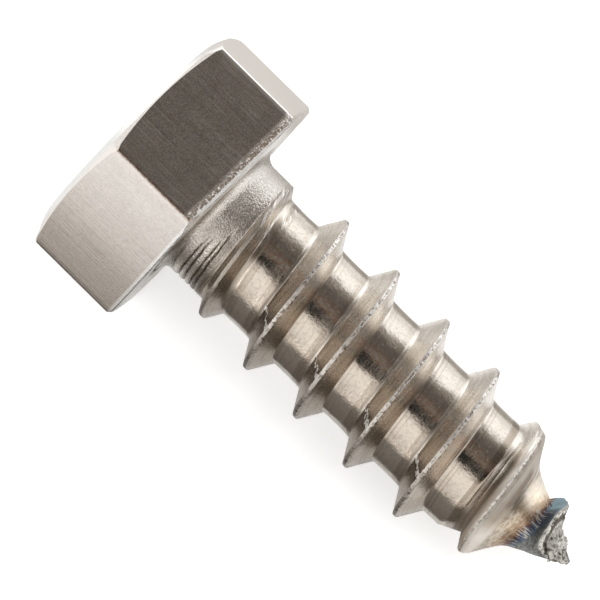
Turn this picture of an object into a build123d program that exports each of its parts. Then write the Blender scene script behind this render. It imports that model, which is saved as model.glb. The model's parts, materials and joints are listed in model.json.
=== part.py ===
from build123d import *
import math
import os

# A short hex lag bolt with a coarse wood thread and a pinched gimlet point, lying at
# rest on one flat of its head and on the last full turn of its thread.
# Lengths are in millimetres and angles in degrees. Every section is drawn with the bearing
# face at height 0, the point towards +Z and the head towards -Z.

# Head
across_flats = 14.1
head_height = 6.05
crown_bevel = 0.45              # eased edge between the flats and the head's top face
corner_drop = 0.25              # the corners are trimmed this much lower than the flats
corner_radius = 0.15            # worn vertical edges of the hex
bearing_bevel = 0.12            # bevel round the corners of the bearing face

# Neck
neck_radius = 3.75
neck_length = 2.05
neck_step_length = 0.55         # cone from the neck down to the thread's root
underhead_bevel = 0.45          # from the neck into the bearing face

# Thread
thread_pitch = 3.63
root_radius = 3.32
crest_radius = 4.6
crest_flat = 0.3
flank_angle = 30.0              # each flank, from a plane square to the axis
crest_start = 5.26              # bearing face to the first full crest
crest_start_angle = -68.2       # where that crest is, from the flat that faces up
runout_turns = 1.25             # the ridge rises out of the neck over these turns
runout_sink = 0.95              # how deep its first section lies below full height
root_overlap = 0.3              # the ridge reaches this far into the core
crest_excess = 0.2              # and this far past full height, before it is trimmed

# Point, with its places counted back from the tip
length_under_head = 26.0
point_half_angle = 27.0
tip_radius = 0.12
crest_taper_length = 7.8        # from here on the crests lose height
last_crest_length = 4.3
last_crest_radius = 3.5
lip_length = 2.55               # torn end of the thread, where the point was pinched off
lip_radius = 2.4
pinch_length = 1.25
pinch_radius = 0.85
ridge_end_length = 1.6

# Sizes that follow
apothem = across_flats / 2
hex_radius = apothem / math.cos(math.radians(30))
flank_slope = math.tan(math.radians(flank_angle))
point_slope = math.tan(math.radians(point_half_angle))
taper_slope = (crest_radius - last_crest_radius) / (crest_taper_length - last_crest_length)
point_start = length_under_head - (root_radius - tip_radius) / point_slope
crest_taper_start = length_under_head - crest_taper_length
clearance = 1.0                 # trimming shapes stand this far off what they leave alone


def head():
    """Hexagon with worn corners, trimmed by a turned shape with an eased top edge."""
    prism = extrude(RegularPolygon(apothem, 6, major_radius=False, rotation=30), -head_height)
    prism = fillet(prism.edges().filter_by(Axis.Z), corner_radius)
    outside = hex_radius + clearance
    corner_slope = corner_drop / (hex_radius - apothem)
    flat_height = head_height - crown_bevel
    outside_height = flat_height - corner_slope * (outside - apothem)
    crown_start = (apothem, -flat_height)
    crown_end = (apothem - crown_bevel, -head_height)
    outline = Polyline((0, 0), (hex_radius - bearing_bevel, 0),
                       (outside, -bearing_bevel - clearance), (outside, -outside_height),
                       crown_start, crown_end, (0, -head_height), close=True)
    return prism & revolve(make_face(Plane.XZ * outline), Axis.Z)


def core():
    """Neck with its bevel under the head, the thread's root and the cone of the point."""
    root_of_head = neck_radius + underhead_bevel
    buried = -head_height / 2
    outline = Polyline((0, buried), (root_of_head, buried), (root_of_head, 0),
                       (neck_radius, underhead_bevel), (neck_radius, neck_length),
                       (root_radius, neck_length + neck_step_length), (root_radius, point_start),
                       (tip_radius, length_under_head), (0, length_under_head), close=True)
    return revolve(make_face(Plane.XZ * outline), Axis.Z)


def ridge_path():
    """Helix at the root: out of the neck, along the shank, then down the cone."""
    runout = runout_turns * thread_pitch
    runout_angle = math.degrees(math.atan(runout_sink / runout))
    shank = point_start - crest_start
    point = length_under_head - ridge_end_length - point_start
    rise = Helix(thread_pitch / math.cos(math.radians(runout_angle)), runout,
                 root_radius - runout_sink, cone_angle=runout_angle)
    level = Helix(thread_pitch, shank, root_radius)
    fall = Helix(thread_pitch / math.cos(math.radians(point_half_angle)), point,
                 root_radius, cone_angle=-point_half_angle)
    rise = Pos(0, 0, -runout) * Rot(0, 0, -360 * runout_turns) * rise
    fall = Pos(0, 0, shank) * Rot(0, 0, 360 * shank / thread_pitch) * fall
    placed = Pos(0, 0, crest_start) * Rot(0, 0, crest_start_angle)
    return Wire([(placed * part).edge() for part in (rise, level, fall)])


def ridge():
    """Thread ridge of 60 degrees, a little too high and too deep, wound along its helix."""
    path = ridge_path()
    start = path @ 0
    outward = Vector(start.X, start.Y, 0).normalized()
    full_height = crest_radius - root_radius
    half_base = crest_flat / 2 + (full_height + root_overlap) * flank_slope
    half_top = crest_flat / 2 - crest_excess * flank_slope
    section = Plane(start, x_dir=outward, z_dir=outward.cross(Vector(0, 0, 1)))
    outline = Polyline((-root_overlap, -half_base), (full_height + crest_excess, -half_top),
                       (full_height + crest_excess, half_top), (-root_overlap, half_base), close=True)
    return sweep(make_face(section * outline), path=path, is_frenet=True)


def crest_trim():
    """Tube outside the full crests, cut away to give them their flat."""
    end = length_under_head + clearance
    outer = crest_radius + crest_excess + clearance
    outline = Polyline((crest_radius, -clearance), (outer, -clearance), (outer, end),
                       (crest_radius, end), close=True)
    return revolve(make_face(Plane.XZ * outline), Axis.Z)


def point_trim():
    """Turned space round the point, where the crests run low and the end is torn short."""
    end = length_under_head + clearance
    outer = crest_radius + crest_excess + clearance
    outline = Polyline((crest_radius, crest_taper_start),
                       (last_crest_radius, length_under_head - last_crest_length),
                       (lip_radius, length_under_head - lip_length),
                       (pinch_radius, length_under_head - pinch_length),
                       (2 * tip_radius, length_under_head + tip_radius), (2 * tip_radius, end),
                       (outer, end), (outer, crest_taper_start), close=True)
    return revolve(make_face(Plane.XZ * outline), Axis.Z)


def floor_crests():
    """Height and radius of each crest on the floor side, at its edge towards the head."""
    crest = crest_start + thread_pitch * (180 - crest_start_angle) / 360
    while crest < length_under_head - last_crest_length:
        contact = crest - crest_flat / 2
        yield contact, crest_radius - taper_slope * max(0, contact - crest_taper_start)
        crest += thread_pitch


def resting_place():
    """Lying down: the lowest edge of the head and the crest that is first to meet the floor."""
    slope = min(math.atan((apothem - radius) / height) for height, radius in floor_crests())
    return Plane((0, 0, apothem * math.cos(slope)), x_dir=(math.sin(slope), 0, math.cos(slope)),
                 z_dir=(math.cos(slope), 0, -math.sin(slope))).location


shank = core() + ridge() - crest_trim() - point_trim()
lag_bolt = resting_place() * (head() + shank)
box = lag_bolt.bounding_box()
lag_bolt = Pos(-box.center().X, -box.center().Y, -box.min.Z) * lag_bolt

os.makedirs("parts", exist_ok=True)
export_step(lag_bolt, "parts/lag_bolt.step")
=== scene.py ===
import json
import math
from types import SimpleNamespace

import bpy
from mathutils import Matrix, Vector


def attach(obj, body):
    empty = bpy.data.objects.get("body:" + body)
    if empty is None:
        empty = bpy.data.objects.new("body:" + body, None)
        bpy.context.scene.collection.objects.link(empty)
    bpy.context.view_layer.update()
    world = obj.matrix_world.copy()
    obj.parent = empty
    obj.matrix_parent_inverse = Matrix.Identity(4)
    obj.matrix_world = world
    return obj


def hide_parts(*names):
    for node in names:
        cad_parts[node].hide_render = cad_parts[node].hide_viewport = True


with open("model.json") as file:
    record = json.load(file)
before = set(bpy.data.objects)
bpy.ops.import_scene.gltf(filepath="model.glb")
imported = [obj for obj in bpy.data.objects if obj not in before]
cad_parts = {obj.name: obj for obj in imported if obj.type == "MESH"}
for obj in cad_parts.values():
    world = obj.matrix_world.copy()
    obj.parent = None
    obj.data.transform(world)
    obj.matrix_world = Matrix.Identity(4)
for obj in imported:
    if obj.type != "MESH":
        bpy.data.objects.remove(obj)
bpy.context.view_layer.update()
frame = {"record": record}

# Sizes of the bolt in millimetres, counted along its axis from the bearing face under the
# head (positive towards the point) and outwards from the axis.
SIZES = {
    "Apothem": 7.035,
    "Head Height": 6.05,
    "Crown": 0.36,
    "Crown Width": 0.9,
    "Corner Drop": 0.4,
    "Corner Radius": 0.2,
    "Corner Wear": 0.25,
    "Flat Bulge": 0.05,
    "Bearing Bevel": 0.07,
    "Bearing Round": 0.22,
    "Bearing Tilt": 0.1,
    "Bearing Drop": 0.2,
    "Shear Band": 0.33,
    "Neck Radius": 3.74,
    "Neck Off Centre": 0.15,
    "Neck Length": 2.05,
    "Neck Slant": 0.33,
    "Neck Step": 0.55,
    "Fillet": 0.62,
    "Pitch": 3.63,
    "Root Radius": 3.32,
    "Crest Radius": 4.6,
    "Crest Flat": 0.2,
    "Root Hollow": 0.035,
    "Crest Start": 5.26,
    "Runout": 4.54,
    "Runout Sink": 0.78,
    "Length": 26.0,
    "Tip Radius": 0.12,
}
CREST_START_ANGLE = math.radians(-68.2)     # from the upward flat, round the axis
THREAD_SWAY = 0.16                          # how far the crest strays from a true helix
LAST_TURN_DRIFT = 0.16                      # how far the last turns lag behind it
BREAK_BEND = 0.5                            # how far the break turns back from it at the point
# Folds rolled into the neck: place and slant, where they begin round the axis, and their depth.
NECK_FOLDS = ((0.25, 0.35, 112, 0.5), (0.9, 0.13, 100, 0.9), (1.13, 0.32, 98, 1.0),
              (1.55, 0.26, 92, 1.0), (1.76, 0.41, 78, 0.8))
FOLD_DEPTH = 0.09
FLANK_SLOPE = 1 / math.tan(math.radians(30))
POINT_SLOPE = math.tan(math.radians(27))
# Crest limits along the point: places counted back from the tip, and the crest radius there.
CREST_LIMITS = ((7.8, 4.6), (4.3, 3.5), (2.07, 2.17), (1.55, 1.05), (-0.12, 0.24))
TOE = 0.18                                  # strip of finer rows at each foot of the ridge

MILLIMETRE = 0.001
CORNERS = 6
COLUMNS_PER_FLAT = 40
CORNER_COLUMNS = 3                          # columns from a corner to the end of its rounding
# Rows of the head: top face, rolled crown, slope to the flats, flats, shear band, bevel, and
# bearing face.
HEAD_ROWS = (10, 8, 4, 16, 8, 2, 10)
NECK_TURNS, NECK_TURN_ROWS = 2, 80          # the neck's even rows, in turns of the helix
TURNS_BEFORE = 3                            # turns from the first row to the first full crest

# Colours of the steel: as rolled in light and dark patches, dulled and as painted shade on the
# flanks, and in the foot of the ridge.
PLAIN_STEEL = ((0.62, 0.575, 0.52, 1), (0.56, 0.515, 0.46, 1))
FLANK_SHADE_AND_DULL_STEEL = (0.6, 0.56, 0.52)
FOOT_LINE = (0.5, 0.46, 0.42)
# Heat tint at the point: place along the bolt and colour there, from straw to blue and grey.
HEAT_COLOURS = ((21.7, (0.8, 0.755, 0.69)), (22.4, (0.98, 0.91, 0.78)),
                (22.9, (0.62, 0.44, 0.3)), (23.08, (0.22, 0.13, 0.11)),
                (23.28, (0.1, 0.11, 0.17)), (23.5, (0.13, 0.17, 0.23)),
                (23.7, (0.16, 0.2, 0.23)), (23.9, (0.31, 0.33, 0.34)),
                (25.2, (0.42, 0.42, 0.41)))
GRAIN_HEIGHT = 0.03 * MILLIMETRE            # of the fine grain in the finishes


# ---------------------------------------------------------------- expressions on node sockets

class Value:
    """A node socket that takes part in ordinary expressions, one Math node an operator."""

    def __init__(self, sheet, socket):
        self.sheet = sheet
        self.socket = socket

    def math(self, operation, *others):
        inputs = dict(enumerate((self, *others)))
        return self.sheet.value("ShaderNodeMath", {"operation": operation}, inputs)

    def __add__(self, other):
        return self.math("ADD", other)

    def __sub__(self, other):
        return self.math("SUBTRACT", other)

    def __mul__(self, other):
        return self.math("MULTIPLY", other)

    def __truediv__(self, other):
        return self.math("DIVIDE", other)

    def __mod__(self, other):
        return self.math("FLOORED_MODULO", other)

    def __lt__(self, other):
        return self.math("LESS_THAN", other)

    def __gt__(self, other):
        return self.math("GREATER_THAN", other)

    def __neg__(self):
        return self * -1.0

    def __radd__(self, other):
        return self + other

    def __rmul__(self, other):
        return self * other

    def __rsub__(self, other):
        return self.sheet.number(other) - self

    def __rtruediv__(self, other):
        return self.sheet.number(other) / self

    def __abs__(self):
        return self.math("ABSOLUTE")

    def least(self, other):
        return self.math("MINIMUM", other)

    def most(self, other):
        return self.math("MAXIMUM", other)

    def within(self, low, high):
        return self.most(low).least(high)

    def fade(self, start, end):
        """0 at start, 1 at end, smooth between and level beyond; start may be the larger."""
        inputs = {"Value": self, "From Min": start, "From Max": end}
        return self.sheet.value("ShaderNodeMapRange", {"interpolation_type": "SMOOTHSTEP"}, inputs)

    def band(self, start, end, edge):
        """1 between start and end, fading to 0 over edge on both sides."""
        return self.fade(start - edge, start) * self.fade(end + edge, end)


class Sheet:
    """One node tree, with one method for any node and short ones for what is used often."""

    def __init__(self, tree):
        self.tree = tree

    def node(self, kind, settings=None, inputs=None):
        made = self.tree.nodes.new(kind)
        for name, value in (settings or {}).items():
            if name == "stops":
                self.set_stops(made.color_ramp, value)
            else:
                setattr(made, name, value)
        for key, value in (inputs or {}).items():
            if isinstance(value, Value):
                self.tree.links.new(value.socket, made.inputs[key])
            else:
                made.inputs[key].default_value = value
        return made

    def set_stops(self, ramp, stops):
        while len(ramp.elements) < len(stops):
            ramp.elements.new(1.0)
        for element, (place, colour) in zip(ramp.elements, stops):
            element.position = place
            element.color = (*colour, 1.0)

    def value(self, kind, settings=None, inputs=None, output=0):
        return Value(self, self.node(kind, settings, inputs).outputs[output])

    def number(self, value):
        return self.value("ShaderNodeMath", {"operation": "ADD"}, {0: value, 1: 0.0})

    def noise(self, vector, scale, detail=2.0, roughness=0.5):
        inputs = {"Vector": vector, "Scale": scale, "Detail": detail, "Roughness": roughness}
        return self.value("ShaderNodeTexNoise", None, inputs)

    def ragged(self, one, other):
        """Noise about 0 over two measures."""
        return self.noise(self.combine(one, other, 0.0), 1.0, 3.0, 0.7) - 0.5

    def combine(self, x, y, z):
        return self.value("ShaderNodeCombineXYZ", None, {0: x, 1: y, 2: z})

    def separate(self, vector):
        made = self.node("ShaderNodeSeparateXYZ", None, {0: vector})
        return [Value(self, output) for output in made.outputs]

    def mix(self, factor, low, high):
        """Colour low where factor is 0, high where it is 1."""
        inputs = {"Factor": factor, 6: low, 7: high}
        settings = {"data_type": "RGBA", "clamp_factor": True}
        return self.value("ShaderNodeMix", settings, inputs, 2)

    def tint(self, factor, colour, shade):
        """Colour multiplied by a shade where factor is 1."""
        settings = {"data_type": "RGBA", "blend_type": "MULTIPLY", "clamp_factor": True}
        return self.value("ShaderNodeMix", settings, {"Factor": factor, 6: colour, 7: shade}, 2)


# ---------------------------------------------------------------- the bolt's shape

class ShapeSheet(Sheet):
    """Geometry tree whose named inputs are the bolt's sizes."""

    def __init__(self, name):
        super().__init__(bpy.data.node_groups.new(name, "GeometryNodeTree"))
        new_socket = self.tree.interface.new_socket
        self.sockets = {size: new_socket(size, in_out="INPUT", socket_type="NodeSocketFloat")
                        for size in SIZES}
        new_socket("Geometry", in_out="OUTPUT", socket_type="NodeSocketGeometry")
        self.inputs = self.tree.nodes.new("NodeGroupInput")
        self.outputs = self.tree.nodes.new("NodeGroupOutput")

    def size(self, name):
        return Value(self, self.inputs.outputs[name])

    def grid(self, columns, rows):
        """Grid mesh, with each vertex's column and row number as values."""
        inputs = {"Size X": float(columns), "Size Y": float(rows),
                  "Vertices X": columns + 1, "Vertices Y": rows + 1}
        mesh = self.value("GeometryNodeMeshGrid", None, inputs)
        x, y, _ = self.separate(self.value("GeometryNodeInputPosition"))
        nearest_half = 0.5
        column = (x + columns / 2 + nearest_half).math("FLOOR")
        row = (y + rows / 2 + nearest_half).math("FLOOR")
        return mesh, column, row

    def choose(self, condition, yes, no):
        return self.value("GeometryNodeSwitch", {"input_type": "FLOAT"},
                          {"Switch": condition, "False": no, "True": yes})

    def remember(self, mesh, name, value):
        """Keeps a value on the grid's points for the materials, before the points are placed."""
        inputs = {"Geometry": mesh, "Name": name, "Value": value}
        return self.value("GeometryNodeStoreNamedAttribute",
                          {"data_type": "FLOAT", "domain": "POINT"}, inputs)

    def place(self, mesh, angle, radius, height):
        """Moves the mesh's points to that angle round the axis, radius and height along it."""
        position = self.combine(radius * angle.math("COSINE"), radius * angle.math("SINE"), height)
        return self.value("GeometryNodeSetPosition", None, {"Geometry": mesh, "Position": position})


def stepped(row, stops):
    """Piecewise straight rule: the value climbs by each (rows, rise) in turn."""
    total, first = 0.0, 0
    for rows, rise in stops:
        total = (row - float(first)).within(0.0, float(rows)) * (rise / rows) + total
        first += rows
    return total


def part_done(row, first, count):
    """0 before row first, 1 after count more rows, straight between."""
    return (row - float(first)).within(0.0, float(count)) / float(count)


def hexagon(sheet, column):
    """Angle and radius of the hexagon with worn corners, for each column."""
    apothem, corner_radius = sheet.size("Apothem"), sheet.size("Corner Radius")
    flat = (column / float(COLUMNS_PER_FLAT)).math("FLOOR")
    along = (column % float(COLUMNS_PER_FLAT)) / float(COLUMNS_PER_FLAT)
    half_flat = math.pi / CORNERS
    centre = (apothem - corner_radius) / math.cos(half_flat)
    rounded = (corner_radius * math.sin(half_flat)
               / (centre + corner_radius * math.cos(half_flat))).math("ARCTANGENT")
    edge_share = CORNER_COLUMNS / COLUMNS_PER_FLAT
    nearest = along.least(1.0 - along)
    past_edge = (nearest - edge_share).most(0.0)
    from_corner = (nearest.least(edge_share) * (rounded / edge_share)
                   + past_edge * ((half_flat - rounded) / (0.5 - edge_share)))
    turned = sheet.choose(along < 0.5, from_corner, 2 * half_flat - from_corner)
    angle = flat * (2 * half_flat) + turned + half_flat
    straight = apothem / (half_flat - from_corner).math("COSINE")
    across = centre * from_corner.math("SINE")
    arc = (centre * from_corner.math("COSINE")
           + (corner_radius * corner_radius - across * across).most(0.0).math("SQRT"))
    tolerance = 0.0001
    radius = sheet.choose(from_corner < rounded + tolerance, arc, straight)
    off_middle = (half_flat - from_corner) / half_flat
    return angle, radius - off_middle * off_middle * sheet.size("Flat Bulge")


def round_angle(column):
    """Even spacing round the axis, in step with the hexagon's corners."""
    return column * (2 * math.pi / (CORNERS * COLUMNS_PER_FLAT)) + math.pi / CORNERS


def head_shape(sheet):
    """Skin of the head, in rings from the middle of its top to the fillet under it."""
    starts = [sum(HEAD_ROWS[:strip]) for strip in range(len(HEAD_ROWS))]
    band_start, bevel_start = starts[4], starts[5]
    mesh, column, row = sheet.grid(CORNERS * COLUMNS_PER_FLAT, sum(HEAD_ROWS))
    on_top, on_crown, on_cone, on_side, on_band, on_bevel, on_face = (
        part_done(row, first, count) for first, count in zip(starts, HEAD_ROWS))
    apothem, height = sheet.size("Apothem"), sheet.size("Head Height")
    crown_size, crown_width = sheet.size("Crown"), sheet.size("Crown Width")
    band_size = sheet.size("Shear Band")
    hex_angle, hex_radius = hexagon(sheet, column)
    degrees = (hex_angle * (180 / math.pi) + 180.0) % 360.0 - 180.0
    one_flat, two_flats = abs(degrees).fade(31.0, 28.0), abs(degrees - 30.0).fade(61.0, 58.0)
    bevel_size = (sheet.size("Bearing Round") * (1.0 - two_flats)
                  + sheet.size("Bearing Bevel") * two_flats)
    beyond = hex_radius - apothem
    corner_reach = apothem * (1 / math.cos(math.pi / CORNERS) - 1)
    corner_slope = sheet.size("Corner Drop") / corner_reach
    share = (beyond / corner_reach).most(0.0)
    bearing_drop = (share * share * share * sheet.size("Bearing Drop")
                    * (abs(degrees - 30.0).fade(31.0, 28.0) * 0.8 + 0.2))
    worn_corner = (share - 0.8).most(0.0) / 0.2
    corner_wear = worn_corner * worn_corner * sheet.size("Corner Wear")
    edge_height = crown_size - height + beyond * corner_slope + corner_wear
    roll_start = 0.25
    rolled = on_crown * (2 * roll_start) + on_crown * on_crown * (1 - 2 * roll_start)
    radius = ((apothem - crown_width) * on_top + crown_width * rolled
              + beyond * on_cone - bevel_size * on_bevel)
    level = (crown_size * on_crown * on_crown - height
             + (beyond * corner_slope + corner_wear) * on_cone
             + (-edge_height - band_size - bearing_drop) * on_side
             + (band_size - bevel_size) * on_band + bevel_size * on_bevel + bearing_drop * on_face)
    ring = sheet.size("Neck Radius") + sheet.size("Fillet")
    leaning = (hex_angle - math.radians(75)).math("COSINE") * sheet.size("Bearing Tilt")
    level = level + on_side * leaning * (1.0 - on_face)
    radius = radius + (ring - radius) * on_face
    angle = hex_angle + (round_angle(column) - hex_angle) * on_face
    sheared = part_done(row, band_start - 1, 1) * (1.0 - part_done(row, bevel_start, 2)) * one_flat
    grain = sheet.noise(sheet.combine(angle * 7.0, level, 0.0), 3.1, 3.0) - 0.5
    step = part_done(row, band_start - 1, 2) * (1.0 - part_done(row, bevel_start - 1, 1))
    radius = radius - step * one_flat * 0.03 + sheared * (grain * 0.14).least(0.0)
    mesh = sheet.remember(mesh, "sheared", sheared)
    return sheet.place(mesh, angle, radius, level)


def crest_limit(height, length):
    """Largest radius of a crest along the point."""
    lines = []
    for (back, radius), (next_back, next_radius) in zip(CREST_LIMITS, CREST_LIMITS[1:]):
        slope = (radius - next_radius) / (back - next_back)
        lines.append(radius - (height - (length - back)) * slope)
    torn = lines[2].most(lines[3])
    return lines[0].least(lines[1]).least(torn).most(0.0)


def strayed_crest(helix, sway):
    """Where the crest really runs: it sways, lags on the last turns and bends at the break."""
    swayed = helix + sway * (0.4 + helix.fade(4.0, 8.0) * 0.6)
    lagging = swayed + helix.fade(17.0, 21.0) * LAST_TURN_DRIFT
    return lagging - helix.fade(23.5, 24.0) * helix.fade(24.9, 24.25) * BREAK_BEND


def neck_folds(sheet, around, height):
    """Depth of the folds in the neck, 0 to 1."""
    total = 0.0
    opened = around.fade(140.0, 178.0)
    waver = sheet.ragged(around * 0.07, height * 1.5)
    for place, slant, begins, depth in NECK_FOLDS:
        along = place + (around - 106.0) * (slant / 74)
        beside = abs(height - along + waver * 0.16) * (1.0 - opened * 0.5)
        total = beside.fade(0.07, 0.0) * around.fade(begins, begins + 22) * depth + total
    return total * around.fade(300.0, 240.0)


def turn_stops():
    """Rows and width of each strip of a turn: crest, flank and toe, the root, and back up."""
    flank = (SIZES["Crest Radius"] - SIZES["Root Radius"]) / FLANK_SLOPE
    half_crest = SIZES["Crest Flat"] / 2
    down = ((2, half_crest), (8, flank), (3, TOE))
    root = SIZES["Pitch"] - 2 * (half_crest + flank + TOE)
    return (*down, (14, root), *reversed(down))


def helix_grid(sheet):
    """Grid whose rows follow the helix, and for its points the angle round the axis, the place
    along it and the place of the crest they belong to."""
    stops, pitch = turn_stops(), sheet.size("Pitch")
    turn_rows, neck_rows = sum(rows for rows, _ in stops), NECK_TURNS * NECK_TURN_ROWS
    turns = math.ceil((SIZES["Length"] - SIZES["Crest Start"]) / SIZES["Pitch"]) + 2
    mesh, column, row = sheet.grid(CORNERS * COLUMNS_PER_FLAT, neck_rows + turn_rows * turns)
    in_neck = row < float(neck_rows) - 0.5
    past_neck = (row - float(neck_rows)).most(0.0)
    neck_turn = (row / float(NECK_TURN_ROWS)).math("FLOOR")
    thread_turn = (past_neck / float(turn_rows)).math("FLOOR") + float(NECK_TURNS)
    neck_beside = (row % float(NECK_TURN_ROWS)) * (SIZES["Pitch"] / NECK_TURN_ROWS)
    turn = sheet.choose(in_neck, neck_turn, thread_turn)
    beside = sheet.choose(in_neck, neck_beside, stepped(past_neck % float(turn_rows), stops))

    angle = round_angle(column)
    sway = (angle - CREST_START_ANGLE).math("COSINE") * THREAD_SWAY
    lead = (angle - CREST_START_ANGLE) / (2 * math.pi) * pitch
    helix = sheet.size("Crest Start") + (turn - float(TURNS_BEFORE)) * pitch + lead
    this_crest, next_crest = strayed_crest(helix, sway), strayed_crest(helix + pitch, sway)
    height = this_crest + (next_crest - this_crest) * (beside / pitch)
    return mesh, angle, height, sheet.choose(beside < pitch / 2, this_crest, next_crest)


def body_radius(sheet, angle, height, beside, folds):
    """Neck with its fillet and folds, the hollow roots, and the cone of the point."""
    leaning = (angle - CREST_START_ANGLE).math("COSINE")
    neck, root, fillet = (sheet.size(name) for name in ("Neck Radius", "Root Radius", "Fillet"))
    neck_end = sheet.size("Neck Length") + (1.0 - leaning) * sheet.size("Neck Slant")
    on_neck = height.fade(neck_end + sheet.size("Neck Step"), neck_end)
    flare = leaning * 0.2 + 1.0
    rise = (1.0 - height / (fillet * flare)).within(0.0, 1.0)
    off_centre = leaning * sheet.size("Neck Off Centre")
    body = root + (neck + off_centre - root) * on_neck
    body = body + fillet * (1.0 - (1.0 - rise * rise).most(0.0).math("SQRT"))
    from_middle = (abs(beside) - sheet.size("Pitch") / 2).within(-1.0, 1.0)
    body = body + from_middle * from_middle * sheet.size("Root Hollow") * (1.0 - on_neck)
    return body - folds * FOLD_DEPTH - past_cone_start(sheet, height) * POINT_SLOPE


def past_cone_start(sheet, height):
    """How far along the cone of the point a place is, 0 before it."""
    cone_length = (sheet.size("Root Radius") - sheet.size("Tip Radius")) / POINT_SLOPE
    return (height - (sheet.size("Length") - cone_length)).most(0.0)


def ridge_radius(sheet, around, crest, beside):
    """The thread's ridge: it rises out of the neck, goes down the cone and is bent at the break."""
    sink = (sheet.size("Crest Start") - crest) / sheet.size("Runout")
    full = sheet.size("Crest Radius") - sheet.size("Runout Sink") * sink.within(0.0, 1.5)
    full = full - crest.fade(2.4, 1.6) * 0.22
    at_break = crest.fade(22.9, 23.3) * crest.fade(24.2, 23.9)
    ragged = sheet.ragged(around * 0.3, crest) * 0.07 * abs(beside).fade(0.3, 0.0)
    full = full + ragged - at_break * 0.31
    from_top = abs(beside - at_break * 0.17) - sheet.size("Crest Flat") / 2 - at_break * 0.2
    slope_down = from_top.most(0.0) * FLANK_SLOPE + crest.fade(24.5, 24.9) * 1.2
    return full - past_cone_start(sheet, crest) * POINT_SLOPE - slope_down


def roughened(sheet, angle, around, radius, height, torn):
    """The radius with a rough fracture, and pitted scale on the cone before it."""
    spot = sheet.combine(radius * angle.math("COSINE"), radius * angle.math("SINE"), height)
    rough = sheet.noise(spot, 2.6, 4.0, 0.7) - 0.56
    radius = radius + torn * rough * 1.3 * (sheet.size("Length") - height).fade(0.0, 0.7)
    scaled = height.band(23.0, 24.6, 0.15) * (1.0 - torn) * around.band(20.0, 190.0, 20.0)
    return radius + scaled * sheet.ragged(around * 0.12, height * 3.0) * 0.12


def shank_shape(sheet):
    """Skin of the neck, thread and point, in rows that follow the thread's helix."""
    mesh, angle, height, crest = helix_grid(sheet)
    around = (angle - CREST_START_ANGLE) * (180 / math.pi) % 360.0
    beside = height - crest
    length = sheet.size("Length")
    height = height.within(0.0, length)
    folds = neck_folds(sheet, around, height)
    body = body_radius(sheet, angle, height, beside, folds)
    ridge = ridge_radius(sheet, around, crest, beside)
    soft = 0.12 + crest.fade(18.0, 19.5) * beside.fade(0.0, 0.5) * 0.5
    radius = body.math("SMOOTH_MAX", ridge, soft)
    radius = radius.least(crest_limit(height, length)).most(0.0)
    torn = crest.fade(23.2, 23.5) * beside.fade(-0.12, 0.02) * height.fade(23.2, 23.4)
    radius = roughened(sheet, angle, around, radius, height, torn)
    radius = (radius * (height < length - 0.001)).most(0.0)
    side = beside * abs(beside).fade(1.7, 1.1)
    kept = {"from_crest": abs(beside), "crest_side": side, "folded": folds, "torn": torn}
    for name, value in kept.items():
        mesh = sheet.remember(mesh, name, value)
    return sheet.place(mesh, angle, radius, height)


def bolt_tree(finish):
    sheet = ShapeSheet("bolt_shape")
    both = sheet.node("GeometryNodeJoinGeometry")
    for skin in (head_shape(sheet), shank_shape(sheet)):
        sheet.tree.links.new(skin.socket, both.inputs["Geometry"])
    weld = 0.002
    welded = sheet.value("GeometryNodeMergeByDistance", None,
                         {"Geometry": Value(sheet, both.outputs[0]), "Distance": weld})
    real = sheet.value("GeometryNodeRealizeInstances", None, {"Geometry": welded})
    smooth = sheet.value("GeometryNodeSetShadeSmooth", None, {"Geometry": real})
    steel = sheet.value("GeometryNodeSetMaterial", None,
                        {"Geometry": smooth, "Material": finish})
    sheet.tree.links.new(steel.socket, sheet.outputs.inputs["Geometry"])
    return sheet


def bolt_mesh(finish):
    """Plain mesh of the bolt in millimetres, bearing face at height 0, point along +Z."""
    sheet = bolt_tree(finish)
    seed = bpy.data.objects.new("bolt_seed", bpy.data.meshes.new("bolt_seed"))
    bpy.context.scene.collection.objects.link(seed)
    modifier = seed.modifiers.new("shape", "NODES")
    modifier.node_group = sheet.tree
    for name, socket in sheet.sockets.items():
        modifier[socket.identifier] = SIZES[name]
    ready = seed.evaluated_get(bpy.context.evaluated_depsgraph_get())
    mesh = bpy.data.meshes.new_from_object(ready)
    bpy.data.objects.remove(seed)
    return mesh


# ---------------------------------------------------------------- the bolt's place

mounts = {mount["name"]: mount for mount in frame["record"]["mounts"]}
bearing = Vector(mounts["bearing_face"]["pos_m"])
axis = Vector(mounts["bearing_face"]["axis"]).normalized()
flat_up = (Vector((0, 0, 1)) - axis * axis.z).normalized()
sideways = axis.cross(flat_up)
turn_to_place = Matrix((flat_up, sideways, axis)).transposed()
bolt_place = Matrix.Translation(bearing) @ turn_to_place.to_4x4()


# ---------------------------------------------------------------- the steel's finish

def bolt_coordinates(sheet):
    """Places on the bolt in millimetres: two across it, one along it from the bearing face."""
    place = sheet.value("ShaderNodeTexCoord", None, None, 3)
    inputs = {"Vector": place, "Location": bearing, "Rotation": turn_to_place.to_euler(),
              "Scale": (MILLIMETRE, MILLIMETRE, MILLIMETRE)}
    return sheet.value("ShaderNodeMapping", {"vector_type": "TEXTURE"}, inputs)


def kept_value(sheet, name):
    return sheet.value("ShaderNodeAttribute", {"attribute_name": name}, None, "Fac")


class Coat:
    """The steel's colour, built up in layers over each other."""

    def __init__(self, sheet, colour):
        self.sheet = sheet
        self.colour = colour

    def cover(self, share, colour):
        """Turns a share of the colour so far into another."""
        self.colour = self.sheet.mix(share, self.colour, (*colour, 1.0))

    def stain(self, share, shade):
        """Multiplies a share of the colour so far by a shade."""
        self.colour = self.sheet.tint(share, self.colour, (*shade, 1.0))


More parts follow.
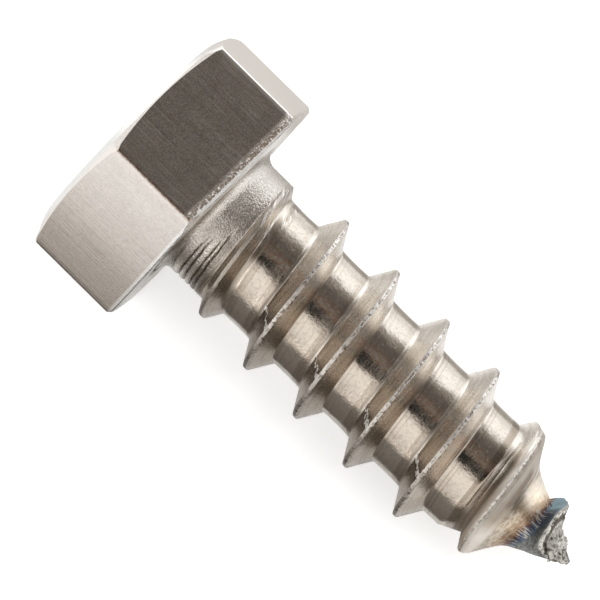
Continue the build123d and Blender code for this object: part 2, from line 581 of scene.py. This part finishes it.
def add_grains(sheet, at):
    """Noises that break up the finishes: even ones, and ones drawn along or round the bolt."""
    def drawn(across, along, detail, roughness):
        stretched = sheet.combine(at.across * across, at.near * across, at.along * along)
        return sheet.noise(stretched, 1.0, detail, roughness)

    at.grain = sheet.noise(at.place, 8.0, 3.0, 0.65)
    at.speckle = sheet.noise(at.place, 4.5, 4.0, 0.7)
    at.pebble = sheet.noise(at.place, 6.0, 2.0, 0.5)
    at.fine = sheet.noise(at.place, 13.0, 1.0, 0.5)
    at.blotch = sheet.noise(at.place, 0.8, 3.0, 0.6)
    at.wobble = sheet.noise(at.place, 1.1, 1.0, 0.5)
    at.brushed = drawn(15.0, 0.16, 4.0, 0.75)
    at.scratched = drawn(17.0, 0.12, 2.0, 0.6)
    at.turned = drawn(0.2, 7.0, 4.0, 0.7)
    at.ripple = drawn(3.0, 9.0, 1.0, 0.5)
    spun = at.across / at.outwards * 11.0, at.near / at.outwards * 11.0, at.along * 0.9
    at.hair = sheet.noise(sheet.combine(*spun), 1.0, 2.0, 0.6)


def add_seam(sheet, at):
    """The line torn across each flank on the head's side, and the shade beside it."""
    wander = sheet.noise(at.place, 4.0, 2.0) - 0.5
    from_seam = abs(at.around - (118.0 + (at.side + 0.87) * 3.0 + wander * 14.0))
    crossing = at.thread * at.side.band(-0.86, -0.1, 0.04) * at.from_crest.fade(1.1, 1.0)
    crossing = crossing * at.along.band(4.0, 19.0, 0.5)
    at.seam = crossing * from_seam.fade(1.7, 0.9)
    at.seam_shade = crossing * (from_seam - 2.4).band(-0.6, 0.6, 0.5)


def bolt_regions(sheet):
    """Places on the bolt, its regions (each from 0 to 1) and the grains of its finishes.

    "along" counts from the bearing face to the point in millimetres, "around" in degrees from
    the start of the crest, and "side" from the nearest crest, negative towards the head."""
    at = SimpleNamespace(place=bolt_coordinates(sheet))
    at.across, at.near, at.along = sheet.separate(at.place)
    at.from_crest, at.side, at.folded, at.torn, at.sheared = (
        kept_value(sheet, name)
        for name in ("from_crest", "crest_side", "folded", "torn", "sheared"))
    at.outwards = (at.across * at.across + at.near * at.near).math("SQRT")
    turned = at.near.math("ARCTAN2", at.across) - CREST_START_ANGLE
    at.around = turned * (180 / math.pi) % 360.0
    add_grains(sheet, at)

    # The angle starts again on the far side, so what reaches across the start is joined there.
    at.over_start, at.near_side = at.around.fade(300.0, 345.0), at.around.fade(330.0, 260.0)
    at.last_corner = at.around.fade(338.5, 337.5)

    at.head = at.along.fade(0.02, -0.02)
    at.flats = at.head * at.outwards.fade(6.85, 6.98) * (1.0 - at.sheared)
    at.coarse_flat = at.flats * at.around.band(38.2, 98.2, 0.5)
    at.shank = 1.0 - at.head
    at.neck = at.shank * at.along.fade(2.45, 2.1)
    at.thread = at.shank * (1.0 - at.neck)
    from_line = at.from_crest + (at.speckle - 0.5) * 0.24 + at.along.fade(18.5, 20.5) * 0.03
    at.crest_line = at.thread * from_line.fade(0.12, 0.04)
    at.to_head = at.side.fade(0.05, -0.05)
    at.to_point = 1.0 - at.to_head
    reach = at.from_crest - at.to_head * 0.15
    at.flank = at.thread * reach.fade(0.95, 0.8) * (1.0 - at.crest_line)
    between = at.thread * (1.0 - at.flank) * (1.0 - at.crest_line)
    at.root = between * at.along.fade(20.6, 20.2)
    at.point = at.thread * at.along.fade(20.2, 20.6)
    add_seam(sheet, at)
    return at


def colour_head(at, coat):
    """Brushed flats, the coarse dark one that faces up, crown and end face; painted light and
    shade.
    """
    around, flats = at.around, at.flats
    coat.cover(flats * 0.9, (0.79, 0.75, 0.705))
    # Painted light on the flat above the coarse one.
    lit_top_flat = flats * around.fade(38.6, 38.0).most(1.0 - at.last_corner)
    coat.cover(lit_top_flat * 0.55, (0.97, 0.95, 0.93))
    lower_flat = flats * around.fade(100.0, 130.0) * at.last_corner
    coat.stain(lower_flat * at.scratched.fade(0.54, 0.62) * 0.22, (0.66, 0.62, 0.58))
    coat.cover(lower_flat * at.scratched.fade(0.44, 0.38) * 0.25, (0.9, 0.87, 0.83))
    coat.stain(lower_flat * at.fine.fade(0.45, 0.62) * 0.24, (0.66, 0.58, 0.54))
    coat.stain(flats * at.brushed.fade(0.5, 0.66) * 0.14, (0.6, 0.58, 0.55))
    # Painted shade from low on the near flat round the flats underneath.
    low_flats_shade = flats * around.fade(120.0, 160.0) * at.last_corner
    coat.stain(low_flats_shade * 0.65, (0.74, 0.7, 0.66))
    crown = at.head * (1.0 - flats) * at.along.fade(-5.0, -5.5)
    coat.cover(crown, (0.88, 0.87, 0.85))
    # Painted shade on the crown outside a lit band between the top and the front.
    coat.stain(crown * (1.0 - around.band(50.0, 86.0, 14.0)) * 0.6, (0.66, 0.66, 0.66))
    end_face = crown * at.outwards.fade(6.2, 5.9)
    coat.cover(end_face, (0.5, 0.48, 0.455))
    # Painted shade on the crown's underside and far side.
    far_crown_shade = crown * around.band(200.0, 340.0, 15.0) * (1.0 - end_face)
    coat.stain(far_crown_shade, (0.6, 0.585, 0.57))
    coat.stain(flats * at.speckle.fade(0.45, 0.6) * 0.14, (0.6, 0.55, 0.52))
    coarse = at.coarse_flat
    coat.stain(coarse * at.fine.fade(0.35, 0.65) * 0.6, (0.55, 0.51, 0.49))
    coat.stain(coarse * at.brushed.fade(0.5, 0.4) * 0.42, (0.6, 0.57, 0.54))
    in_patches = at.blotch.fade(0.4, 0.6) * 0.6 + 0.2
    coat.cover(coarse * at.brushed.fade(0.55, 0.66) * in_patches, (1.0, 0.97, 0.93))


def colour_head_edges(at, coat):
    """The worn corner of the upward flat, a painted highlight on its other, crumbs in the sheared
    band.
    """
    by_edge = at.head * at.outwards.fade(7.8, 8.0)
    worn_edge = by_edge * ((at.around - 98.0) / 1.3).band(-0.4, 0.35, 0.3)
    worn_edge = worn_edge * at.along.fade(-5.7, -5.5)
    coat.cover(worn_edge * (0.4 + at.speckle.fade(0.4, 0.6) * 0.5), (0.34, 0.23, 0.17))
    # Painted highlight along the corner between the upward flat and the one above it.
    edge_highlight = by_edge * ((at.around - 38.2) / 1.2).band(-0.2, 1.0, 0.3)
    coat.cover(edge_highlight, (0.95, 0.93, 0.9))
    crumbs = at.grain * 0.6 + at.speckle * 0.4
    coat.cover(at.sheared * crumbs.fade(0.47, 0.43) * 0.85, (0.97, 0.95, 0.92))
    coat.stain(at.sheared * crumbs.fade(0.46, 0.5) * 0.8, (0.3, 0.23, 0.18))


def colour_crests(at, coat):
    """The crests' line with its pits and dots, a painted highlight on top, dull where the thread
    begins.
    """
    crest, along = at.crest_line, at.along
    begun = along.fade(3.4, 5.2)
    bright = crest * (along - 0.3).fade(2.8, 5.2)
    coat.cover(bright * 0.7, (0.62, 0.59, 0.55))
    # Painted highlight on the upper and far side of the crests.
    coat.cover(bright * at.around.fade(85.0, 65.0).most(at.over_start) * 0.9, (1.0, 0.98, 0.95))
    pitted = crest * at.grain.fade(0.52, 0.58) * at.around.fade(95.0, 75.0).most(at.over_start)
    coat.stain(pitted * begun * 0.85, (0.2, 0.17, 0.15))
    coat.cover(crest * along.fade(18.5, 20.0) * 0.6, (0.9, 0.88, 0.84))
    coat.stain(crest * at.speckle.fade(0.5, 0.57) * begun * 0.8, (0.35, 0.31, 0.27))
    coat.stain(crest * along.fade(5.2, 3.4) * 0.7, (0.55, 0.52, 0.48))
    coat.stain(at.seam_shade * 0.7, (0.3, 0.26, 0.22))
    nicked = at.thread * at.side.band(0.05, 0.16, 0.05) * at.speckle.fade(0.5, 0.58)
    nicked = nicked * at.from_crest.fade(0.4, 0.3) * (along.fade(20.8, 19.5) * 0.5 + 0.4)
    coat.stain(nicked * begun, (0.25, 0.21, 0.18))


def colour_neck(at, coat):
    """Pale grainy neck with dark folds; painted shade at its ends, front, top and near side."""
    neck, around, along = at.neck, at.around, at.along
    coat.cover(neck, (0.84, 0.81, 0.765))
    coat.stain(neck * at.fine.fade(0.4, 0.62) * 0.42, (0.55, 0.5, 0.46))
    # Painted shade in a strip along the front.
    coat.stain(neck * around.band(94.0, 103.0, 8.0) * 0.6, (0.68, 0.66, 0.64))
    # Painted shade by the fillet under the head and where the neck meets the thread.
    fillet_shade = neck * along.band(0.0, 0.4, 0.15) * around.fade(60.0, 75.0) * at.near_side
    coat.stain(fillet_shade * 0.6, (0.6, 0.57, 0.54))
    thread_end_shade = at.shank * along.band(1.8, 2.3, 0.12) * around.fade(92.0, 100.0)
    coat.stain(thread_end_shade * at.near_side, (0.55, 0.53, 0.51))
    # Painted shade in patches round the near side.
    patchy_near_shade = neck * around.band(84.0, 150.0, 14.0) * along.fade(0.3, 0.6)
    coat.stain(patchy_near_shade * (at.blotch.fade(0.35, 0.6) * 0.4 + 0.6), (0.76, 0.73, 0.7))
    # Painted shade on the upper and far side.
    coat.stain(neck * around.fade(66.0, 42.0).most(at.over_start), (0.78, 0.78, 0.78))
    coat.stain(at.folded, (0.22, 0.18, 0.15))


def colour_roots(at, coat):
    """Polished roots between the ridges, with rolling marks, painted reflections and painted
    glints.
    """
    root, around = at.root, at.around
    rolled = (root * 0.6 + at.flank * 0.4) * at.turned.fade(0.5, 0.68)
    coat.stain(rolled * 0.5, (0.62, 0.56, 0.5))
    coat.cover(root * 0.5, (0.68, 0.625, 0.56))
    # Painted warm reflection in a band on the near side.
    coat.cover(root * around.band(96.0, 125.0, 6.0) * 0.5, (0.76, 0.65, 0.53))
    coat.stain(root * at.pebble.fade(0.5, 0.64) * 0.25, (0.6, 0.54, 0.48))
    # Painted brown reflection, mottled, in a band a little above the front.
    brown_reflection = root * around.band(73.0, 83.0, 3.0) * at.pebble.fade(0.36, 0.5)
    coat.stain(brown_reflection * 0.6, (1.0, 0.74, 0.62))
    # Painted glints in a band above the front.
    glints = root * around.band(60.0, 84.0, 3.0) * at.speckle.fade(0.6, 0.64)
    coat.cover(glints * 0.8, (0.95, 0.93, 0.88))


def colour_flanks(sheet, at, coat):
    """Satin flanks: painted shade near side, first turn and toes; painted light towards the top."""
    around, along, side = at.around, at.along, at.side
    flank, to_head, to_point = at.flank, at.to_head, at.to_point
    turn_place = along - side - around * (SIZES["Pitch"] / 360)
    before_last = turn_place.fade(18.5, 17.5).most(to_head * turn_place.fade(22.0, 21.0))
    # Painted shade over the flanks from the front round to the near side, deeper partway down each.
    facing = around.fade(55.0, 95.0) * around.fade(185.0, 145.0) * before_last
    shaded = to_head * side.band(-0.72, -0.15, 0.15) * 0.75 + to_point * side.fade(0.1, 0.7)
    coat.stain(flank * facing * (shaded * 0.7 + 0.3).least(1.0), (0.8, 0.75, 0.7))
    # Painted shade on the first turn's flanks round the front.
    first_flank = flank * to_point * along.fade(3.9, 3.4) * around.band(55.0, 140.0, 15.0)
    coat.stain(first_flank * side.fade(0.7, 0.55) * 0.45, FLANK_SHADE_AND_DULL_STEEL)
    first_turn = flank * to_head * along.band(4.3, 6.3, 0.4) * around.band(68.0, 140.0, 14.0)
    coat.stain(first_turn * 0.8, (0.55, 0.52, 0.5))
    # Painted shade at the head-side toes, on the near side and on the last turns.
    last_toe = turn_place.fade(18.5, 19.5)
    head_toe_shade = at.thread * to_head * side.band(-1.28, last_toe * 0.35 - 0.72, 0.08) * before_last
    head_toe_shade = head_toe_shade * (around.fade(88.0, 100.0) * at.near_side).most(last_toe.most(0.3))
    coat.stain(head_toe_shade * (last_toe * 0.3 + 0.6), FLANK_SHADE_AND_DULL_STEEL)
    # Painted light on the upper part of the flanks, dimmed on the head side.
    dimmed = to_head * around.fade(72.0, 60.0) * (0.65 - around.fade(53.0, 43.0) * 0.6)
    sunlit = around.fade(95.0, 50.0).most(at.over_start) * before_last * (0.9 - dimmed)
    coat.cover(flank * sunlit, (0.9, 0.86, 0.8))
    # Painted shade at the point-side toes on the upper side.
    point_toe_shade = flank * to_point * side.fade(0.45, 0.7) * around.band(52.0, 90.0, 10.0)
    coat.stain(point_toe_shade * 0.85, FLANK_SHADE_AND_DULL_STEEL)
    lines = sheet.noise(sheet.combine(side * 9.0, along * 0.4, 0.0), 1.0, 2.0, 0.6)
    lined = at.thread * at.from_crest.band(0.2, 1.25, 0.1) * lines.fade(0.52, 0.6)
    coat.stain(lined * 0.3, (0.55, 0.5, 0.45))


def colour_thread_ends(sheet, at, coat):
    """The last flank's painted shade and light, the ridge's foot lines, the drawn run-out and the
    seam.
    """
    around, along, side = at.around, at.along, at.side
    # Painted shade on the last flank above and behind, and painted light on it towards the near
    # side.
    last_flank = at.point * side.band(0.1, 0.95, 0.1)
    coat.stain(last_flank * around.fade(155.0, 110.0).most(at.over_start) * 0.45,
               (0.68, 0.66, 0.63))
    coat.cover(last_flank * around.fade(108.0, 135.0) * at.near_side * 0.9, (0.88, 0.84, 0.79))
    coat.stain(at.thread * side.band(-1.22, -1.16, 0.03) * 0.3, FOOT_LINE)
    point_foot = at.thread * side.band(0.98, 1.04, 0.04)
    coat.stain(point_foot * (along.fade(19.5, 20.5) * 0.4 + 0.25), FOOT_LINE)
    arc = around * 0.061
    stretched = sheet.combine((along - arc * 0.47) * 5.0, arc * 0.4, 0.0)
    drawn = sheet.noise(stretched, 1.0, 3.0, 0.7).fade(0.5, 0.62)
    by_runout = along.band(1.95, 3.1, 0.25) * ((around + 60.0) % 360.0).band(65.0, 134.0, 13.0)
    coat.cover(by_runout * drawn, (0.92, 0.9, 0.87))
    coat.stain(by_runout * (1.0 - drawn) * 0.5, FLANK_SHADE_AND_DULL_STEEL)
    coat.cover(at.seam * 0.9, (0.9, 0.88, 0.85))


def colour_bearing_face(at, coat):
    bearing_face = at.along.fade(-0.17, -0.12) * at.outwards.fade(4.6, 4.8)
    coat.cover(bearing_face * 0.9, (0.92, 0.91, 0.89))


def colour_burnt_cone(sheet, at, coat):
    """Heat tint from straw to blue and grey, the blue lip of the torn thread, and its scale."""
    around, along, side = at.around, at.along, at.side
    slant = (around - 74.0).within(0.0, 70.0) * at.near_side * 0.0068
    slant = slant * (along.fade(23.0, 23.6) * 0.7 + 0.3)
    burn = along + (at.hair - 0.5) * 0.5 + (at.pebble - 0.5) * 0.3 + slant
    first, last = HEAT_COLOURS[0][0], HEAT_COLOURS[-1][0]
    stops = [((reached - first) / (last - first), colour) for reached, colour in HEAT_COLOURS]
    heat = sheet.value("ShaderNodeValToRGB", {"stops": stops},
                       {"Fac": (burn - first) / (last - first)})
    tinted = along.fade(21.6, 21.8) * (1.0 - at.flank * along.fade(22.6, 22.2) * 0.7)
    coat.colour = sheet.mix(tinted, coat.colour, heat)
    lip = along.fade(23.1, 23.3) * side.band(-0.5, 0.0, 0.15) * at.from_crest.fade(0.8, 0.6)
    at.lip = lip * ((around + 60.0) % 360.0).fade(125.0, 85.0)
    coat.cover(at.lip, (0.34, 0.48, 0.55))
    fringe = along.band(22.85, 23.4, 0.15) * at.hair.band(0.54, 0.6, 0.03) * (1.0 - at.lip)
    coat.cover(fringe * 0.8, (0.75, 0.7, 0.62))
    at.facet = burn.fade(23.72, 23.95) * (1.0 - at.torn) * (1.0 - at.lip)
    coat.cover(at.facet * 0.8, (0.37, 0.37, 0.355))
    scaled = at.facet * (at.grain * 0.6 + at.speckle * 0.4).fade(0.46, 0.54)
    coat.stain(scaled * 0.7, (0.35, 0.37, 0.38))
    off_flank = 1.0 - at.flank * along.fade(22.2, 21.8)
    # Darker on the cone's front and near side.
    front_and_near_darkening = around.fade(62.0, 80.0) - around.fade(84.0, 96.0) * 0.45
    front_and_near_darkening = along.band(21.4, 22.9, 0.3) * front_and_near_darkening * at.near_side * off_flank
    coat.stain(front_and_near_darkening, (0.4, 0.365, 0.335))
    rippled = along.band(21.2, 23.0, 0.3) * at.ripple.fade(0.44, 0.58) * off_flank
    coat.stain(rippled * (around.fade(60.0, 90.0) * at.near_side * 0.5 + 0.15),
               (0.62, 0.53, 0.43))
    by_lip = along.band(21.5, 22.4, 0.3) * around.band(50.0, 115.0, 20.0)
    coat.stain(by_lip * 0.5, (1.0, 0.93, 0.85))


def colour_fracture(at, coat):
    """The torn face: grey and rough, with a bright rim and painted shadow beside it on both sides.
    """
    torn, speckle = at.torn, at.speckle
    coat.cover(torn, (0.78, 0.76, 0.72))
    coat.stain(torn * at.blotch.fade(0.55, 0.42) * 0.5, (0.5, 0.5, 0.48))
    coat.stain(torn * speckle.fade(0.5, 0.57) * 0.7, (0.3, 0.27, 0.23))
    from_rim = at.side + (speckle - 0.5) * 0.3
    # Painted shadow just outside the rim.
    rim_outer_shadow = at.along.fade(23.1, 23.5) * (1.0 - at.lip) * from_rim.band(-0.36, -0.14, 0.06)
    coat.stain(rim_outer_shadow * 0.55, (0.5, 0.44, 0.38))
    rim = torn * from_rim.band(-0.06, 0.14, 0.04)
    coat.cover(rim * (speckle.fade(0.56, 0.48) * 0.6 + 0.2), (0.93, 0.91, 0.87))
    coat.stain(rim * at.grain.fade(0.52, 0.58) * 0.8, (0.25, 0.22, 0.18))
    # Painted shadow just inside the rim.
    coat.stain(torn * from_rim.band(0.18, 0.34, 0.05) * 0.9, (0.2, 0.175, 0.14))


def steel_roughness(at):
    """How matt each region is, with its grain."""
    regions = (at.flats * 0.22 + at.head * (1.0 - at.flats) * 0.3 + at.neck * 0.25
               + at.crest_line * 0.3 + at.flank * 0.27 + at.root * 0.14
               + at.point * (0.42 - at.torn * 0.12))
    uneven = (at.grain - 0.5) * 0.1 + (at.blotch - 0.5) * 0.12
    return regions + uneven + at.sheared * 0.1 + at.seam * 0.3


def steel_relief(at):
    """Height of the fine grain of each region."""
    return (at.flats * (at.brushed * 0.1 + at.speckle * 0.08) + at.coarse_flat * at.brushed * 0.1
            + at.neck * (at.pebble * 0.55 + at.fine * 1.0)
            + (at.root * 0.2 + at.flank * 0.7 + at.point) * at.turned
            + at.root * (at.grain * 0.25 + at.pebble * 0.25 + at.wobble * 1.2)
            + at.point * (1.0 - at.torn) * at.ripple * 1.5
            + at.facet * at.grain * 3.0 + at.seam * 0.3
            + (at.sheared * 4.0 + at.crest_line * 2.5 + at.torn * 4.0) * at.speckle)


def steel_material():
    """Stainless steel: brushed flats, granular neck, polished root, satin flanks, burnt point."""
    material = bpy.data.materials.new("stainless_steel")
    material.use_nodes = True
    sheet = Sheet(material.node_tree)
    shader = material.node_tree.nodes["Principled BSDF"]
    shader.inputs["Metallic"].default_value = 1.0
    at = bolt_regions(sheet)
    coat = Coat(sheet, sheet.mix(at.blotch.fade(0.35, 0.65), *PLAIN_STEEL))
    colour_head(at, coat)
    colour_head_edges(at, coat)
    colour_crests(at, coat)
    colour_neck(at, coat)
    colour_roots(at, coat)
    colour_flanks(sheet, at, coat)
    colour_thread_ends(sheet, at, coat)
    colour_bearing_face(at, coat)
    colour_burnt_cone(sheet, at, coat)
    colour_fracture(at, coat)
    bump = sheet.value("ShaderNodeBump", None, {"Strength": 1.0, "Distance": GRAIN_HEIGHT,
                                                "Height": steel_relief(at)})
    for name, made in (("Base Color", coat.colour), ("Roughness", steel_roughness(at)),
                       ("Normal", bump)):
        sheet.tree.links.new(made.socket, shader.inputs[name])
    return material


def add_bolt():
    """The bolt's one piece, in its place and in metres."""
    mesh = bolt_mesh(steel_material())
    mesh.name = "bolt"
    mesh.transform(bolt_place @ Matrix.Scale(MILLIMETRE, 4))
    mesh.set_sharp_from_angle(angle=math.radians(35))
    bolt = bpy.data.objects.new("bolt", mesh)
    bpy.context.scene.collection.objects.link(bolt)
    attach(bolt, "root")
    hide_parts("lag_bolt")
    return bolt


# ---------------------------------------------------------------- floor, surround, light, camera

FLOOR_HALF_WIDTH = 1.5                      # in metres, like the lamp's and camera's places
FLOOR_GLOW = 0.35                           # how much lighter the camera sees the floor
# Studio surround as the bolt's side sees it: angle round the bolt from straight up towards
# the near side, in degrees, and how bright the surround is there.
SURROUND = ((-180, 0.9), (-112, 1.2), (-92, 1.5), (-64, 1.6), (-56, 1.35), (-50, 0.5), (-38, 0.27),
            (-30, 0.15), (-20, 0.145), (-8, 0.17), (0, 0.26), (26, 0.27), (30, 0.4), (36, 0.88),
            (44, 1.14), (58, 1.07), (74, 0.92), (84, 0.7), (91, 0.6), (100, 0.7), (180, 0.9))
HEAD_END, POINT_END = 1.6, 1.4              # how bright the surround is beyond the ends
FAR_ENDS = 0.72                             # and beyond them on the far side
NEAR_PANEL = 2.7                            # and on the panel beside the head, on the near side
# Cards lying beside the bolt, which only reflections see, as painted shade on the floor there: ends
# along the bolt, edges across it (negative is the near side) in millimetres, and how light they
# are.
CARDS = {
    "near_card": (-8.5, 26.0, -50.0, -4.6, 0.17),
    "near_edge_card": (-8.5, 60.0, -140.0, -50.0, 0.42),
    "head_card": (-24.0, -8.5, -45.0, -9.0, 0.12),
    "head_edge_card": (-24.0, -8.5, -80.0, -45.0, 0.43),
    "far_card": (-8.5, 20.0, 9.0, 22.0, 0.42),
    "far_head_card": (-24.0, -8.5, 2.0, 80.0, 0.6),
}
CARD_LIFT = 0.2                             # height of the cards over the floor, in millimetres
LAMP_SIZE, LAMP_POWER = 0.9, 5.0
LAMP_PLACE = Vector((0.05, 0.25, 0.85))
CAMERA_TURN = math.radians(21.8)            # round the bolt's axis, from the upward flat
CAMERA_YAW = math.radians(1.0)              # towards the point
CAMERA_ROLL = math.radians(44.6)
CAMERA_DISTANCE = 0.266
CAMERA_AIM = 6.47 * MILLIMETRE              # from the bearing face, along the axis
CAMERA_LIFT = 0.06 * MILLIMETRE
CAMERA_SPAN = 0.1173                        # width of the frame at a distance of 1


def plain_material(name, colour):
    material = bpy.data.materials.new(name)
    material.use_nodes = True
    shader = material.node_tree.nodes["Principled BSDF"]
    shader.inputs["Base Color"].default_value = (*colour, 1.0)
    shader.inputs["Roughness"].default_value = 0.9
    return material


def add_rectangle(name, start, end, near, far, height, finish):
    """Level rectangle given by its edges and its height, in metres."""
    corners = [(x, y, height) for x, y in ((start, near), (end, near), (end, far), (start, far))]
    mesh = bpy.data.meshes.new(name)
    mesh.from_pydata(corners, [], [(0, 1, 2, 3)])
    mesh.materials.append(finish)
    rectangle = bpy.data.objects.new(name, mesh)
    bpy.context.scene.collection.objects.link(rectangle)
    return rectangle


def add_floor():
    """Plain pale floor, a little lighter to the camera than to the bolt."""
    half = FLOOR_HALF_WIDTH
    finish = plain_material("floor", (0.95, 0.95, 0.95))
    floor = add_rectangle("floor", -half, half, -half, half, 0.0, finish)
    sheet, shader = Sheet(finish.node_tree), finish.node_tree.nodes["Principled BSDF"]
    shader.inputs["Emission Strength"].default_value = FLOOR_GLOW
    seen = sheet.value("ShaderNodeLightPath", None, None, "Is Camera Ray")
    glow = sheet.mix(seen, (0.0, 0.0, 0.0, 1), (1.0, 1.0, 1.0, 1))
    sheet.tree.links.new(glow.socket, shader.inputs["Emission Color"])


def add_card(name, edges, light):
    """Card that only reflections see, painted shade on the floor there, warmer the darker it is."""
    colour = (light, light * (0.9 + light * 0.1), light * (0.8 + light * 0.2))
    places = [place * MILLIMETRE for place in (*edges, CARD_LIFT)]
    card = add_rectangle(name, *places, plain_material(name, colour))
    card.visible_camera = card.visible_diffuse = card.visible_shadow = False


def add_world():
    """Bright walls, a dim ceiling over the bolt, and the dark place of the camera.

    x runs along the bolt to the point, and turn is the angle round it towards the near side."""
    world = bpy.data.worlds.new("studio")
    bpy.context.scene.world = world
    world.use_nodes = True
    sheet = Sheet(world.node_tree)
    x, y, z = sheet.separate(sheet.value("ShaderNodeTexCoord"))
    turn = (-y).math("ARCTAN2", z) * (180 / math.pi)
    brightest = max(level for _, level in SURROUND)
    stops = [((angle + 180) / 360, (level / brightest,) * 3) for angle, level in SURROUND]
    surround = sheet.value("ShaderNodeValToRGB", {"stops": stops}, {"Fac": (turn + 180.0) / 360.0})
    level, _, _ = sheet.separate(surround)
    level = level * brightest
    camera = turn.band(9.0, 28.0, 3.0) * x.band(0.11, 0.5, 0.04)
    level = level * (1.0 - camera * 0.95)
    near_panel = x.band(-0.5, -0.3, 0.25) * turn.band(60.0, 110.0, 20.0)
    near_panel = near_panel.most(x.fade(-0.036, -0.05) * turn.band(82.0, 110.0, 6.0) * 0.4)
    level = level + (NEAR_PANEL - level) * near_panel
    to_head, to_point = x.fade(-0.4, -0.75), x.fade(0.4, 0.75)
    level = level + (HEAD_END - level) * to_head
    level = level + (POINT_END - level) * to_point
    far_ends = (turn.band(-130.0, -40.0, 25.0) * x.fade(-0.4, -0.58)
                + turn.band(-56.0, -34.0, 9.0) * x.fade(0.45, 0.62))
    level = level + (FAR_ENDS - level) * far_ends
    warm, pale = (1.0, 0.9, 0.81, 1), (1.0, 1.0, 1.0, 1)
    colour = sheet.mix(level.fade(0.3, 0.9), warm, pale)
    background = world.node_tree.nodes["Background"]
    lit = sheet.value("ShaderNodeVectorMath", {"operation": "SCALE"}, {0: colour, "Scale": level})
    sheet.tree.links.new(lit.socket, background.inputs["Color"])


def add_lamp():
    """Wide soft lamp over the floor; the steel reflects the surround instead of it."""
    data = bpy.data.lights.new("soft_lamp", "AREA")
    data.size, data.energy = LAMP_SIZE, LAMP_POWER
    lamp = bpy.data.objects.new("soft_lamp", data)
    bpy.context.scene.collection.objects.link(lamp)
    facing_bolt = LAMP_PLACE.to_track_quat("Z", "Y").to_matrix().to_4x4()
    lamp.matrix_world = Matrix.Translation(LAMP_PLACE) @ facing_bolt
    lamp.visible_glossy = False


def add_camera():
    """Camera over the near side, with the bolt lying from corner to corner of its frame."""
    data = bpy.data.cameras.new("camera")
    data.lens = data.sensor_width / CAMERA_SPAN
    camera = bpy.data.objects.new("camera", data)
    bpy.context.scene.collection.objects.link(camera)
    facing = flat_up * math.cos(CAMERA_TURN) + sideways * math.sin(CAMERA_TURN)
    across = facing.cross(axis)
    back = facing * math.cos(CAMERA_YAW) + axis * math.sin(CAMERA_YAW)
    along = axis * math.cos(CAMERA_YAW) - facing * math.sin(CAMERA_YAW)
    right = along * math.cos(CAMERA_ROLL) + across * math.sin(CAMERA_ROLL)
    up = across * math.cos(CAMERA_ROLL) - along * math.sin(CAMERA_ROLL)
    target = bearing + along * CAMERA_AIM - across * CAMERA_LIFT
    turn = Matrix((right, up, back)).transposed().to_4x4()
    camera.matrix_world = Matrix.Translation(target + back * CAMERA_DISTANCE) @ turn
    bpy.context.scene.camera = camera


add_bolt()
add_floor()
for card_name, (*card_edges, card_light) in CARDS.items():
    add_card(card_name, card_edges, card_light)
add_world()
add_lamp()
add_camera()
bpy.context.scene.view_settings.view_transform = "Standard"
